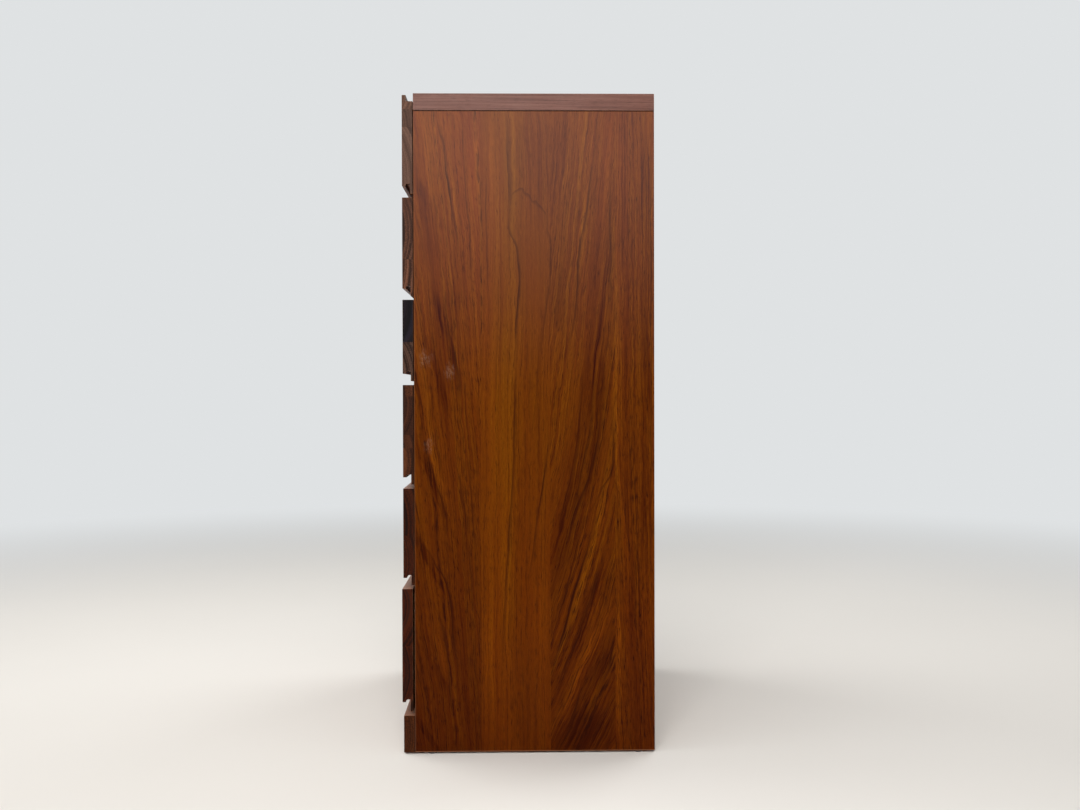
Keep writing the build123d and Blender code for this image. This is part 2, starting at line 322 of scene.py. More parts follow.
def makeEdgeWear():  # rubbed arrises: where the rounded normal leaves the flat one
    tree, given, result = newGroup("edgeWear", {"radius": 0.002, "amount": 1.0}, ("mask",))
    rounded = addField(tree, "Bevel", {"Radius": given["radius"]}, samples=4)
    flat = addField(tree, "NewGeometry", output="True Normal")
    along = addField(tree, "VectorMath", {0: rounded, 1: flat}, "Value", operation="DOT_PRODUCT")
    turned = ease(along, 0.985, 0.80)
    broken = ease(noiseAt(addField(tree, "TexCoord", output="Object"), 3.0, 0.6, 60.0), 0.30, 0.70)
    plug(turned * broken * given["amount"], result["mask"])
    return tree


def makeHandling():  # faint smears and rubs that change the sheen
    tree, given, result = newGroup("handling", {"amount": 1.0, "seed": 0.0}, ("smear",))
    source = addField(tree, "TexCoord", output="Object")
    moved = addField(tree, "VectorMath", {0: source, 1: vector(given["seed"], 0.0, 0.0)}, operation="ADD")
    wide = noiseAt(moved, 3.0, 0.55, 7.0)
    small = noiseAt(moved, 2.0, 0.5, 45.0)
    plug((small * 0.35 + wide * 0.65 - 0.5) * given["amount"], result["smear"])
    return tree


growthRings = makeRings()
woodFibres = makeFibres()
grainPatch = makePatch()
edgeWear = makeEdgeWear()
handling = makeHandling()
print("shared effects built")


def wearEdges(colour, wear):  # wear: how far in (metres), how strong, toward which colour
    radius, amount, written = wear
    return toward(colour, useGroup(colour.tree, edgeWear, radius=radius, amount=amount)["mask"], written)


def smears(tree, amount, seed):
    return useGroup(tree, handling, amount=amount, seed=seed)["smear"]


def dress(material, *names):
    for name in names:
        for holder in nodes[name].material_slots:
            holder.material = material


# side panels: four leaves of figured walnut veneer, grain upright
rightVeneerLook = {
    "name": "sideVeneerRight",
    "seams": (-84.5, 39.2, 155.7),  # where the leaves meet, across the depth
    # each leaf: an arch has a middle and a width, a lean shifts its lines by (z, shift); top and low are its
    # tone there, darker low down as painted shade; figure and hair the strength of its broad and its fine
    # lines
    "leaves": [
        {"flow": "arch", "middle": -240.0, "width": 16.0, "spacing": 130.0, "seed": 3.1, "top": 1.02,
         "low": 0.585, "figure": 0.95, "hair": 0.98, "tint": (255, 248, 255)},
        {"flow": "lean", "shift": [(0, -6), (300, -6), (600, -2), (900, 4), (1180, -4)], "spacing": 15.0,
         "seed": 8.4, "top": 1.0, "low": 0.835, "figure": 0.55, "hair": 0.66, "tint": (251, 255, 236)},
        {"flow": "lean",
         "shift": [(0, 21), (100, 67), (200, 109), (300, 139), (400, 167), (480, 186), (560, 200), (700, 217),
                   (1180, 268)], "spacing": 12.0, "seed": 15.2, "top": 0.95, "low": 0.655, "figure": 0.95,
         "hair": 0.84, "tint": (255, 254, 246)},
        {"flow": "lean", "shift": [(0, 0), (400, -16), (1180, -22)], "spacing": 10.0, "seed": 21.7,
         "top": 0.98, "low": 0.72, "figure": 1.15, "hair": 1.0, "tint": (255, 253, 252)},
    ],
    "archSlant": [(0, 0), (1180, -110)],  # how the fine streaks lean in a leaf with an arch
    "palette": [(0.2, (88, 36, 7)), (0.42, (111, 53, 11)), (0.6, (122, 64, 12)), (0.84, (139, 79, 18))],
    "lineColour": (40, 10, 3),
    # painted light: tone by height (z, factor) as painted shade, and a greyer painted sheen toward the top
    "fall": [(0, 0.8), (92, 0.84), (238, 0.94), (382, 0.93), (525, 0.93), (669, 0.92), (812, 0.93),
             (955, 0.97), (1086, 1.05), (1180, 1.07)],
    "paintedSheen": (620.0, 1170.0, 0.0, 0.085), "paintedSheenColour": (158, 150, 150),  # from z, to z, strengths
    "hues": [(0.34, (255, 247, 255)), (0.5, (255, 251, 248)), (0.66, (253, 254, 236))],
    # painted shade: darker and redder towards the bottom, by share of the height
    "lowShadeTint": [(0.0, (255, 226, 110)), (0.30, (255, 242, 130)), (0.55, (255, 254, 200)),
               (0.75, (255, 255, 255))],
    # dark growth lines, one side soft and one sharp: points (z, y) in mm, reach left and right, strength
    "lines": [
        ([(1149, -168), (1081, -149), (1018, -142), (938, -129), (880, -119)], 2.0, 6.0, 0.68),
        ([(1149, -121), (1067, -115), (977, -108), (870, -101), (762, -97)], 1.6, 5.0, 0.36),
        ([(1149, -83), (1009, -81), (830, -79), (700, -79)], 1.4, 1.6, 0.14),
        ([(1110, -74), (1009, -74), (800, -72)], 1.4, 4.0, 0.35),
        ([(1149, -41), (1013, -34), (945, -32)], 1.4, 12.0, 0.42),
        ([(985, -33), (931, -31), (916, -24), (870, -16), (762, -22), (690, -24)], 1.6, 6.0, 0.62),
        ([(740, -23), (615, -25), (507, -27), (418, -34), (340, -40), (239, -45), (110, -50)],
         1.5, 6.5, 0.55),
        ([(975, 30), (941, 36), (905, 41), (834, 39), (762, 28), (690, 22)], 5.0, 2.0, 0.42),
        ([(1120, 123), (1020, 111), (959, 102), (887, 89), (834, 88), (762, 80), (690, 60)], 2.0, 6.0, 0.55),
        ([(1040, 147), (900, 148), (800, 147)], 3.0, 3.0, 0.5),
        ([(760, -150), (735, -134), (687, -124), (630, -121)], 9.0, 1.8, 0.55),
        ([(575, -190), (490, -166), (447, -151), (405, -144)], 1.8, 5.0, 0.55),
        ([(530, -135), (472, -120), (350, -111)], 1.6, 5.0, 0.5),
        ([(560, -112), (454, -101), (330, -96)], 1.6, 4.0, 0.45),
        ([(400, -204), (346, -171), (310, -149), (267, -140), (217, -136), (140, -129)], 2.0, 7.0, 0.6),
        ([(280, -176), (196, -149), (113, -142), (50, -133)], 1.8, 6.0, 0.55),
        ([(580, 40), (521, 31), (436, 18), (387, 11), (300, 0)], 1.6, 4.5, 0.65),
        ([(780, 18), (615, 12), (530, -4)], 1.4, 3.0, 0.25),
        ([(660, 134), (543, 120), (490, 106), (436, 84), (382, 70), (330, 55)], 3.0, 8.0, 0.6),
        ([(600, 149), (507, 149), (479, 134), (440, 114)], 2.0, 6.0, 0.55),
        ([(724, 101), (631, 93), (550, 87), (457, 66), (376, 49)], 2.0, 6.0, 0.45),
        ([(700, 121), (658, 117), (577, 109), (512, 96), (447, 82), (376, 66)], 2.0, 7.0, 0.5),
        ([(215, 92), (185, 78), (150, 62), (110, 50)], 3.0, 8.0, 0.55),
        ([(340, 124), (290, 113), (250, 100), (210, 88)], 3.0, 10.0, 0.5),
        ([(175, 128), (130, 102), (105, 90), (70, 79), (30, 62)], 3.0, 9.0, 0.5),
        ([(420, 98), (360, 84), (315, 73), (275, 63), (240, 53), (200, 43)], 3.0, 4.5, 0.6),
        ([(410, 116), (340, 98), (280, 79), (230, 66), (200, 57), (140, 41)], 3.5, 5.0, 0.85),
        ([(205, 152), (180, 149), (150, 143)], 5.0, 4.0, 0.55),
        ([(500, 165), (400, 177), (220, 194)], 1.6, 4.0, 0.5),
        ([(1140, 221), (669, 220), (300, 220)], 3.0, 2.0, 0.4),
    ],
    # the arch's flat top: points are (y, z)
    "arch": [(-34, 984), (-29, 998), (-21, 1006), (-13, 1008), (0, 1004), (9, 992), (22, 985), (33, 965),
             (37, 940)],
    # broad tone bands along the grain, given as the lines are: a strength below 0 is paler
    "bands": [
        ([(1000, 147), (900, 145), (855, 142), (800, 137), (757, 130), (650, 116), (560, 104)], 11, 11, 0.3),
        ([(1130, 125), (1040, 121), (965, 114)], 6, 6, 0.3),
        ([(1165, 148), (1060, 143), (990, 136), (920, 129)], 8, 7, -0.26),
        ([(1180, -101), (1000, -94), (800, -86)], 14, 12, -0.15),
        ([(790, 124), (690, 122), (577, 110), (500, 98), (414, 75), (344, 62), (255, 50)], 27, 28, 0.3),
        ([(846, -169), (775, -151), (685, -129), (642, -124)], 12, 8, 0.32),
        ([(741, -176), (685, -162), (615, -147)], 8, 8, 0.3),
        ([(550, -193), (479, -167), (410, -144)], 8, 8, 0.42),
        ([(440, -220), (382, -196), (326, -169), (273, -142), (185, -131)], 9, 9, 0.42),
        ([(194, -194), (160, -172), (113, -147)], 8, 8, 0.35),
        ([(56, -194), (20, -172), (2, -158)], 8, 8, 0.4),
        ([(1027, -201), (991, -179), (947, -158)], 14, 14, 0.2),
        ([(1151, 215), (720, 215), (330, 214)], 16, 8, 0.25),
        ([(1151, -77), (792, -76), (524, -65), (255, -65), (13, -70)], 40, 40, -0.12),
        ([(1190, -64), (1080, -60), (960, -54), (860, -50)], 28, 22, -0.12),
        ([(1190, -128), (1040, -118), (880, -104)], 9, 9, -0.14),
        ([(1190, -160), (1100, -146), (1018, -136), (938, -124), (840, -110)], 6, 6, -0.22),
        ([(1010, -186), (930, -170), (850, -160)], 18, 14, 0.16),
        ([(524, 154), (434, 134), (370, 117), (320, 101), (260, 87), (195, 74)], 8, 9, -0.3),
        ([(275, 150), (225, 131), (195, 114), (160, 96), (130, 84), (56, 60)], 13, 13, -0.48),
        ([(340, 130), (290, 115), (250, 102), (215, 92), (150, 64)], 11, 11, 0.38),
        ([(284, 159), (131, 160), (6, 160)], 4, 7, -0.5),
        ([(812, 159), (515, 160), (454, 166), (389, 175), (300, 181)], 5, 5, -0.28),
        ([(346, 23), (185, 23), (2, 23)], 20, 15, -0.16), ([(274, -72), (131, -72), (2, -72)], 12, 16, -0.14),
        ([(579, -181), (516, -165), (463, -147)], 7, 7, -0.32),
        ([(265, -192), (185, -158), (113, -138), (59, -131)], 8, 8, -0.28),
        ([(1117, 140), (1034, 118), (947, 100), (848, 89)], 8, 8, -0.16),
    ],
    # blotches: centre y, z, half sizes, lean, strength
    "patches": [
        (98, 34, 52, 56, 0.3, 0.55), (134, 158, 20, 44, 0.25, 0.35), (138, 312, 18, 46, 0.2, 0.24),
        (34, 1070, 66, 84, 0.0, 0.18), (55, 812, 14, 76, 0.06, 0.2), (6, 868, 34, 100, 0.0, 0.06),
        (44, 985, 62, 50, 0.0, 0.09), (-184, 925, 24, 80, 0.0, 0.13), (-140, 800, 24, 52, 0.0, 0.14),
        (-152, 690, 40, 150, -0.06, 0.12),
    ],
    "calm": [(7, 880, 34, 135), (-172, 905, 40, 95)],  # smooth places with few fine lines: y, z, half sizes
    "scuffs": [(-184, 708, 13, 14), (-140, 683, 10, 15), (-178, 553, 9, 13)],  # pale rubs: y, z, half sizes
    "scuffColour": (196, 172, 150),
    # painted highlights on the arrises, painted shadow in the joint under the top and in the line where the
    # fronts shut: from, to, strengths
    "frontHighlight": (-201.6, -203.0, 0.0, 0.15), "footHighlight": (5.4, 4.2, 0.0, 0.5),
    "topJointShadow": (1147.6, 1149.2, 0.0, 0.8), "shutShadowLine": (-203.0, -203.4, 0.0, 0.80),
    "highlightEdgeColour": (196, 140, 104), "wear": (0.0014, 0.30, (176, 108, 62)),
    # edges are straight-grained strips, the inner face a plain paler board
    "edge": [(0.3, (74, 36, 16)), (0.7, (122, 68, 34))],
    "inside": [(0.25, (128, 88, 56)), (0.75, (164, 122, 84))],
}
leftVeneerLook = dict(
    rightVeneerLook, name="sideVeneerLeft", seams=(-92.0, 24.0, 140.0), leaves=[
        {"flow": "lean", "shift": [(0, 0), (500, -40), (1180, -66)], "spacing": 11.0, "seed": 31.4,
         "top": 0.96, "low": 0.68, "figure": 0.9, "hair": 0.9, "tint": (252, 255, 246)},
        {"flow": "lean", "shift": [(0, 4), (600, -4), (1180, 6)], "spacing": 15.0, "seed": 44.8, "top": 1.02,
         "low": 0.84, "figure": 0.6, "hair": 0.7, "tint": (252, 255, 246)},
        {"flow": "arch", "middle": 84.0, "width": 9.0, "spacing": 210.0, "seed": 52.3, "top": 1.0,
         "low": 0.76, "figure": 0.8, "hair": 0.8, "tint": (252, 255, 246)},
        {"flow": "lean", "shift": [(0, 0), (500, 30), (1180, 60)], "spacing": 11.0, "seed": 67.9, "top": 0.92,
         "low": 0.68, "figure": 0.9, "hair": 0.9, "tint": (252, 255, 246)},
    ], lines=[
        ([(1149, 20), (900, 8), (600, -4), (300, -16)], 1.6, 6.0, 0.55),
        ([(1100, 130), (800, 112), (500, 104)], 5.0, 1.6, 0.5),
        ([(700, -150), (450, -128), (200, -110), (40, -104)], 1.6, 5.0, 0.5),
    ], bands=[
        ([(1100, -170), (700, -150), (300, -128)], 26, 20, 0.3),
        ([(900, 196), (500, 176), (160, 160)], 20, 24, 0.3),
        ([(1120, -30), (600, -36), (20, -30)], 34, 34, -0.12),
        ([(520, -176), (300, -160), (80, -146)], 9, 9, -0.3),
    ], patches=[(84, 260, 30, 150, 0.0, 0.28)], arch=[], calm=[], scuffs=[])


def byLeaf(across, seams, values, mixer=mixValue):  # one value for each leaf
    chosen = values[0]
    for seam, value in zip(seams, values[1:]):
        chosen = mixer(across > seam, chosen, value)
    return chosen


def drawnCurve(height, points, low, high):  # a smooth line through given points, against the height
    node = addNode(height.tree, "FloatCurve", {"Value": height / chestHeight})
    curve = node.mapping.curves[0]
    spots = [(up / chestHeight, (side - low) / (high - low)) for up, side in sorted(points)]
    for up, side in spots[1:-1]:
        curve.points.new(up, side)
    curve.points[0].location = spots[0]
    curve.points[len(spots) - 1].location = spots[-1]
    node.mapping.update()
    return Field(node.outputs[0]) * (high - low) + low


def besideCurve(y, z, points, left, right, flat=0.0):  # 1 on a drawn curve, fading beside it
    heights = sorted(up for up, side in points)
    away = y - drawnCurve(z, points, -250.0, 250.0)
    near = ease(away, -left, -left * flat) * ease(away, right, right * flat)
    run = min(150.0, (heights[-1] - heights[0]) * 0.35)
    low = ease(z, heights[0] - 25.0, heights[0] + run)
    high = ease(z, heights[-1] + 25.0, heights[-1] - run)
    return near * (low * high)


def drawnArch(y, z, points):  # a line that runs across the grain for a short way
    middle, level = chestHeight / 2.0, 1000.0  # these bring it into the range of a drawn curve
    lifted = [(side + middle, up - level) for side, up in points]
    away = z - level - drawnCurve(y + middle, lifted, -250.0, 250.0)
    near = ease(away, -8.0, 0.0) * ease(away, 2.6, 0.0)
    first, last = points[0][0], points[-1][0]
    sides = ease(y, first - 3.0, first + 8.0) * ease(y, last + 2.0, last - 6.0)
    return near * sides * 0.42


def leanCurve(z, shift):
    return drawnCurve(z, shift, -300.0, 300.0)


def leafFlow(y, z, leaf):  # follows the figure of one leaf: lines of equal flow are the grain lines
    if leaf["flow"] == "arch":
        off = y - leaf["middle"]
        return off * off / leaf["width"] + z
    return y - leanCurve(z, leaf["shift"])


def makeSideVeneer(look):
    material, tree, shader = newMaterial(look["name"])
    (x, y, z), facing = objectPlace(tree)
    leaves, seams, lineColour = look["leaves"], look["seams"], look["lineColour"]

    def leafValue(key):
        return byLeaf(y, seams, [leaf[key] for leaf in leaves])

    def blotch(sideways, ragged, centreY, centreZ, halfY, halfZ, lean=0.0):
        return useGroup(tree, grainPatch, y=sideways, z=z, streak=fibres["streak"], centreY=centreY,
                        centreZ=centreZ, halfY=halfY, halfZ=halfZ, lean=lean, ragged=ragged)["mask"]

    low = vector(y * 0.011, z * 0.0050, leaves[0]["seed"])
    quick = vector(y * 0.05, z * 0.018, leaves[1]["seed"])
    bend = (noiseAt(low, 1.0) - 0.5) * 15.0
    ripple = (noiseAt(quick) - 0.5) * 8.0
    bentY = y + ripple
    freeY = bentY + bend
    bentZ = ripple * 1.5 + z
    flow = byLeaf(y, seams, [leafFlow(freeY, z, leaf) for leaf in leaves])
    spacing = leafValue("spacing")
    seed = leafValue("seed")
    rings = useGroup(tree, growthRings, flow=flow, spacing=spacing, seed=seed)
    fine = useGroup(tree, growthRings, flow=flow, spacing=spacing * 0.30, seed=seed + 40.0)
    # the streaks lean as the leaf's lines do
    slant = byLeaf(y, seams, [leanCurve(z, leaf.get("shift", look["archSlant"])) for leaf in leaves])
    across = bentY - slant
    fibres = useGroup(tree, woodFibres, across=across, deep=x, along=z, seed=seed)
    figure = leafValue("figure")
    lively = 1.0
    for spot in look["calm"]:
        lively = blotch(bentY, 0.8, *spot) * -0.55 + lively
    figure = figure * lively
    tone = (fibres["streak"] - 0.5) * 0.95 + (rings["tone"] - 0.5) * 0.60
    tone = (fine["tone"] - 0.5) * 0.45 + tone
    colour = toneRamp(tone * figure + 0.5, look["palette"])
    # each leaf's own tone and tint, then hues that wander with the grain, then painted shade by height:
    # darker and redder low down
    leafToneAndShade = mixValue(ease(z, 1150.0, 120.0), leafValue("top"), leafValue("low"))
    colour = stained(colour, byLeaf(y, seams, [linear(leaf["tint"]) for leaf in leaves], mixColour))
    colour = stained(colour, toneRamp(noiseAt(vector(flow * 0.028, z * 0.0030, seed)), look["hues"]))
    colour = shade(colour, leafToneAndShade * drawnCurve(z, look["fall"], 0.5, 1.5))
    colour = stained(colour, toneRamp(z / chestHeight, look["lowShadeTint"]))
    patchTone = 0.0
    for *spot, strength in look["patches"]:
        patchTone = blotch(bentY, 1.5, *spot) * strength + patchTone
    # inside a band the tone breaks into strands and threads
    strands = ease(noiseAt(vector(across * 0.17, z * 0.0042, seed), 2.0, 0.55), 0.34, 0.66, 0.30, 1.60)
    threads = calc("MAXIMUM", 0.0, (fibres["streak"] - 0.5) * -2.2 + 1.0)
    inBand = strands * threads
    bandTone = 0.0
    for points, left, right, strength in look["bands"]:
        bandTone = besideCurve(bentY, bentZ, points, left, right, 0.45) * strength + bandTone
    colour = deepen(colour, bandTone * inBand + patchTone)
    # fine lines broken into dashes, then the drawn lines
    fade = ease(noiseAt(vector(y * 0.03, z * 0.011, 9.0)), 0.25, 0.65, 0.70, 1.30)
    deeper = ease(z, 1150.0, 250.0, 0.95, 1.75)  # the grain reads stronger where less light falls
    dashes = noiseAt(vector(across * 0.20, z * 0.040, 2.0))
    broken = ease(dashes, 0.36, 0.64, 0.35, 1.45) * (deeper * lively)
    hair = leafValue("hair") * broken
    dark = (fine["lines"] * 0.50 + rings["lines"] * 0.38) * hair
    for points, left, right, strength in look["lines"]:
        dark = calc("MAXIMUM", dark, besideCurve(bentY, bentZ, points, left, right) * fade * strength)
    if look["arch"]:
        dark = calc("MAXIMUM", dark, drawnArch(bentY, ripple * 3.0 + z, look["arch"]))
    colour = toward(colour, calc("MINIMUM", dark, 0.85), lineColour)
    colour = toward(colour, fibres["pores"] * (hair * 0.50), lineColour)
    colour = deepen(colour, fibres["flecks"] * -0.30 + 0.04)
    # a greyer painted sheen toward the top
    colour = toward(colour, ease(z, *look["paintedSheen"]), look["paintedSheenColour"])
    rub = 0.0
    for spot in look["scuffs"]:
        rub = calc("MAXIMUM", rub, blotch(y, 2.4, *spot))
    specks = noiseAt(vector(y * 0.22, z * 0.15, 5.0), 3.0, 0.6)
    rub = ease(specks, 0.42, 0.60, 0.15, 1.0) * rub
    colour = toward(colour, rub * 0.09, look["scuffColour"])
    # the arrises along the front and the foot are painted paler as a painted highlight, the joint under the
    # top is a painted shadow line
    edgeHighlight = calc("MAXIMUM", ease(y, *look["frontHighlight"]), ease(z, *look["footHighlight"]))
    colour = toward(colour, edgeHighlight, look["highlightEdgeColour"])
    colour = toward(colour, ease(z, *look["topJointShadow"]), lineColour)
    outward = facing[0] * calc("SIGN", x)
    colour = mixColour(outward > 0.6, toneRamp(fibres["streak"], look["edge"]), colour)
    colour = mixColour(outward > -0.6, toneRamp(fibres["streak"], look["inside"]), colour)
    colour = wearEdges(colour, look["wear"])
    # a painted shadow line in the gap where the fronts shut
    shutShadowLine = ease(y, *look["shutShadowLine"]) * (abs(x) > sideFace - 1.0)
    colour = toward(colour, shutShadowLine, lineColour)
    rough = fibres["pores"] * 0.12 + 0.36 + smears(tree, 0.20, seed)
    lie = noiseAt(vector(y * 0.80, x * 0.80, z * 0.05), 3.0, 0.6)
    finishShader(shader, colour, rub * 0.12 + rough, lie, 0.00018, 0.45, 0.03)
    return material


dress(makeSideVeneer(rightVeneerLook), "side_panel_right")
dress(makeSideVeneer(leftVeneerLook), "side_panel_left")
print("side panels veneered")


# solid walnut: glued boards with the grain along the width, rings on the ends
frontLook = {
    "name": "solidWalnut",
    # boards from the floor up: where each starts (mm), its tint on the face, its tint on the ends
    # the end tints also carry painted light: the upper fronts' ends are greyer and paler, a painted sheen
    "boards": [
        (0, (206, 170, 152), (165, 112, 52)), (70, (196, 158, 138), (145, 81, 28)),
        (190, (208, 174, 154), (138, 75, 25)), (299, (202, 166, 146), (149, 86, 36)),
        (390, (212, 180, 160), (138, 79, 34)), (479, (222, 190, 168), (176, 129, 87)),
        (544, (204, 168, 148), (149, 109, 76)), (567, (196, 164, 148), (139, 101, 72)),
        (637, (214, 178, 156), (180, 134, 93)), (664, (206, 172, 152), (167, 156, 145)),
        (736, (176, 146, 132), (54, 66, 98)), (816, (216, 186, 166), (212, 179, 153)),
        (883, (200, 168, 150), (199, 169, 145)), (998, (220, 190, 172), (243, 236, 225)),
        (1117, (206, 178, 162), (218, 210, 197)), (1149, (214, 186, 168), (251, 239, 221)),
    ],
    "palette": [(0.20, (84, 50, 30)), (0.42, (116, 74, 46)), (0.60, (138, 92, 60)), (0.85, (164, 116, 80))],
    "endPalette": [(0.25, (64, 46, 40)), (0.42, (98, 72, 63)), (0.58, (124, 94, 83)),
                   (0.80, (158, 124, 112))],
    "lineColour": (46, 24, 14), "upwardSheenColour": (198, 152, 124), "wear": (0.0018, 0.4, (168, 120, 86)),
    "shutShadowLine": (-205.7, -205.1, 0.0, 0.80),  # a painted shadow line at the back of the ends, in the gap: from y, to y, strengths
    "shutShadeBand": 24.0,  # painted shade: dark bands behind, in the gap where a front shuts on the edges of the sides
}


def makeSolidWalnut(look):
    material, tree, shader = newMaterial(look["name"])
    (x, y, z), (faceX, faceY, faceZ) = objectPlace(tree)
    level = z / chestHeight
    starts, onFaces, onEnds = zip(*look["boards"])
    shares = [start / chestHeight for start in starts]
    faceTint = toneRamp(level, list(zip(shares, onFaces)), "CONSTANT")
    endTint = toneRamp(level, list(zip(shares, onEnds)), "CONSTANT")
    ends = faces(faceX)
    tint = mixColour(ends, faceTint, endTint)
    code = [Field(socket) for socket in addNode(tree, "SeparateColor", {0: endTint}).outputs]
    seed = calc("MULTIPLY_ADD", code[0], 71.0, code[2] * 133.0)
    chance = addField(tree, "TexWhiteNoise", {"W": seed}, 1, noise_dimensions="1D")
    pick = [Field(socket) for socket in addNode(tree, "SeparateColor", {0: chance}).outputs]
    # the tree's heart lies some way before each board, and its trunk tapers along it
    tops = starts[1:] + (chestHeight,)
    middles = [(share, (low + high) / 2.0 / chestHeight) for share, low, high in zip(shares, starts, tops)]
    middle = toneRamp(level, middles, "CONSTANT") * chestHeight
    heartY = pick[0] * -90.0 - 285.0
    heartZ = (pick[1] - 0.5) * 70.0
    sway = (noiseAt(vector(x * 0.0026, y * 0.006, z * 0.007 + seed)) - 0.5) * 17.0
    taper = x * ((pick[2] > 0.5) * 0.07 - 0.035)
    centred = z - middle - heartZ
    away = y - heartY
    flow = calc("SQRT", away * away + centred * centred) + (sway + taper)
    rings = useGroup(tree, growthRings, flow=flow, spacing=4.6, seed=seed)
    fibres = useGroup(tree, woodFibres, across=z, deep=y, along=x, seed=seed)
    tone = (fibres["streak"] - 0.5) * 0.6 + rings["tone"]
    # cut ends: tight rings and open pores, livelier on the lower fronts
    tight = useGroup(tree, growthRings, flow=flow, spacing=1.9, seed=seed + 20.0)
    pits = noiseAt(vector(y * 0.75, z * 0.55, seed), 2.0, 0.6)
    cut = (tight["tone"] - 0.5) * 0.5 + (tone - 0.5) + (pits - 0.5) * 0.5
    cut = cut * ease(z, 1010.0, 930.0, 0.7, 1.7) + 0.5
    wood = mixColour(ends, toneRamp(tone, look["palette"]), toneRamp(cut, look["endPalette"]))
    colour = stained(wood, tint)
    colour = toward(colour, rings["lines"] * mixValue(ends, 0.5, 0.8), look["lineColour"])
    colour = toward(colour, fibres["pores"] * 0.42, look["lineColour"])
    colour = shade(colour, mixValue(ends, 1.05, 0.75))
    # painted shade on the back faces, in the gap where a front shuts on the sides
    shut = (faceY > 0.6) * (abs(x) > sideFace - look["shutShadeBand"])
    colour = shade(colour, shut * -0.65 + 1.0)
    upwardSheen = ease(faceZ, 0.5, 0.8, 0.0, 0.30)  # upward faces paler: a painted sheen where light grazes the top edges
    colour = toward(colour, upwardSheen, look["upwardSheenColour"])
    colour = wearEdges(colour, look["wear"])
    # painted shadow line at the back of the ends, in the gap by the sides
    colour = toward(colour, ends * ease(y, *look["shutShadowLine"]), look["lineColour"])
    rough = fibres["pores"] * 0.12 + 0.37 + smears(tree, 0.2, 5.0)
    height = fibres["pores"] * -0.7 + fibres["streak"] * 0.4
    finishShader(shader, colour, ends * 0.12 + rough, height, 0.0002, 0.5, 0.08)
    return material


dress(makeSolidWalnut(frontLook), "plinth_front", *["drawer_%d_front" % number for number in drawerNumbers])
print("drawer fronts and plinth finished")


# top panel: two leaves with the grain along the width, edges with their own strips
topLook = {
    "name": "topVeneer", "seam": 18.0,
    "middles": (-92.0, 190.0), "seeds": (5.3, 17.9),  # for the front and the back leaf
    "palette": [(0.20, (92, 50, 28)), (0.42, (116, 66, 38)), (0.60, (128, 76, 45)), (0.84, (148, 92, 58))],
    "edge": [(0.25, (86, 53, 45)), (0.50, (110, 72, 62)), (0.75, (132, 92, 80))],
    "lineColour": (48, 24, 14), "wear": (0.0022, 0.45, (176, 126, 98)),
    "foot": (1151.0, 1150.2, 0.0, 0.6),  # the dark lower edge, a painted shadow of the joint under the top: from z, to z, strengths
}


def makeTopVeneer(look):
    material, tree, shader = newMaterial(look["name"])
    (x, y, z), (faceX, faceY, faceZ) = objectPlace(tree)
    bent = (noiseAt(vector(x * 0.0045, y * 0.011, 4.0)) - 0.5) * 26.0 + y
    second = y > look["seam"]
    off = bent - mixValue(second, *look["middles"])
    reach = x * mixValue(second, 1.0, -1.0) + 900.0
    flow = off * off / 15.0 + reach
    seed = mixValue(second, *look["seeds"])
    rings = useGroup(tree, growthRings, flow=flow, spacing=84.0, seed=seed)
    fine = useGroup(tree, growthRings, flow=flow, spacing=21.0, seed=seed + 40.0)
    fibres = useGroup(tree, woodFibres, across=bent, deep=z, along=x, seed=seed)
    tone = (fibres["streak"] - 0.5) * 0.8 + (rings["tone"] * 0.62 + 0.19)
    tone = (fine["tone"] - 0.5) * 0.4 + tone
    colour = toneRamp(tone, look["palette"])
    dark = fibres["pores"] * 0.38 + (fine["lines"] * 0.32 + rings["lines"] * 0.5)
    colour = toward(colour, calc("MINIMUM", dark, 0.85), look["lineColour"])
    # edge strips run round the board
    ends = faces(faceX)
    along = mixValue(ends, x, y)
    thin = mixValue(ends, y, x)
    strip = useGroup(tree, woodFibres, across=z, deep=thin, along=along, seed=61.0)
    edge = toneRamp(strip["streak"], look["edge"])
    edge = toward(edge, strip["pores"] * 0.4, look["lineColour"])
    # painted shadow along the lower edge, where the top meets the sides
    edge = toward(edge, ease(z, *look["foot"]), look["lineColour"])
    colour = mixColour(faces(faceZ), edge, colour)
    colour = wearEdges(colour, look["wear"])
    rough = fibres["pores"] * 0.12 + 0.36 + smears(tree, 0.24, 2.0)
    height = fibres["pores"] * -0.6 + fibres["streak"] * 0.4
    finishShader(shader, colour, rough, height, 0.00018, 0.45, 0.10)
    return material


dress(makeTopVeneer(topLook), "top_panel")
print("top panel veneered")


